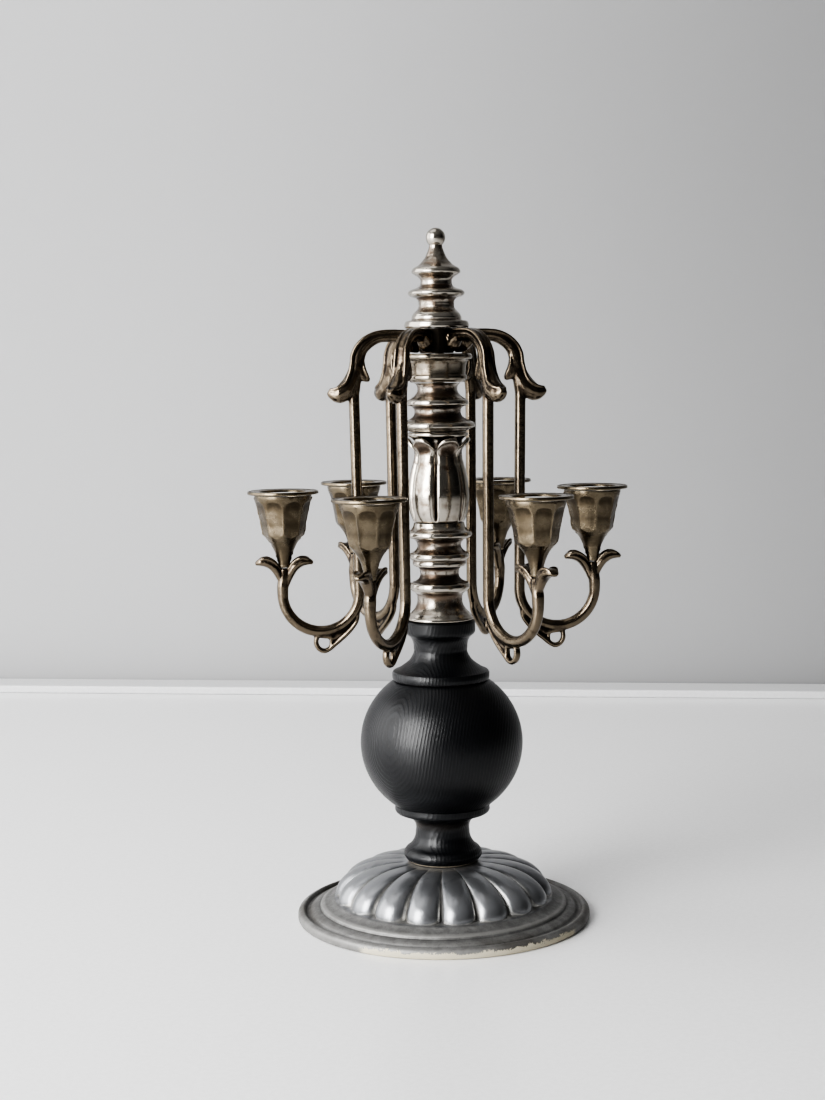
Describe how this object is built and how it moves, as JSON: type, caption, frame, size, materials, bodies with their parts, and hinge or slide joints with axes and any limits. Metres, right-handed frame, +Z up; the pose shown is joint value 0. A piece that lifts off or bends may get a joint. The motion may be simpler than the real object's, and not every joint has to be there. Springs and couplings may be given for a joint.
{
  "type": "ring candelabra menorah",
  "caption": "Tabletop menorah in candelabra form: lobed metal foot, turned wood stem, plated spindles and a crown of hooked cast arms with candle cups.",
  "frame": {"origin": "centre of the foot, on the surface that it stands on", "axes": "+Z up the stem; one arm points along +X and the other five follow every sixty degrees; the usual front is towards -Y"},
  "size_m": [0.1684, 0.1498, 0.305],
  "materials": {
    "foot_pewter": "satin grey cast metal, dark in the grooves, worn bright on the lobes",
    "bright_plate": "bright silver-nickel plate with a thin warm brown tarnish",
    "aged_nickel": "aged nickel plate on cast arms, glossy with dark warm tarnish",
    "cup_nickel": "dull warm grey nickel plate on rough cast cups",
    "black_wood": "black-stained turned softwood, satin, with the grain showing",
    "rod_steel": "plain zinc-grey threaded steel"
  },
  "bodies": {
    "root": {"foot": "foot_pewter", "foot_washer": "rod_steel", "foot_nut": "rod_steel", "tie_rod": "rod_steel", "wood_stem": "black_wood", "lower_spindle": "bright_plate", "leaf_baluster": "bright_plate", "upper_spindle": "bright_plate", "arm_collar": "bright_plate"},
    "crown": {"hub_core": "aged_nickel", "arm_1": "aged_nickel", "arm_2": "aged_nickel", "arm_3": "aged_nickel", "arm_4": "aged_nickel", "arm_5": "aged_nickel", "arm_6": "aged_nickel", "candle_cup_1": "cup_nickel", "candle_cup_2": "cup_nickel", "candle_cup_3": "cup_nickel", "candle_cup_4": "cup_nickel", "candle_cup_5": "cup_nickel", "candle_cup_6": "cup_nickel", "drip_pan_1": "cup_nickel", "drip_pan_2": "cup_nickel", "drip_pan_3": "cup_nickel", "drip_pan_4": "cup_nickel", "drip_pan_5": "cup_nickel", "drip_pan_6": "cup_nickel"},
    "finial": {"finial": "bright_plate"}
  },
  "joints": [
    {"name": "crown_turn", "type": "hinge", "parent": "root", "child": "crown", "pos_m": [0, 0, 0.2562], "axis": [0, 0, 1], "continuous": true},
    {"name": "finial_turn", "type": "hinge", "parent": "root", "child": "finial", "pos_m": [0, 0, 0.2618], "axis": [0, 0, 1], "continuous": true}
  ]
}
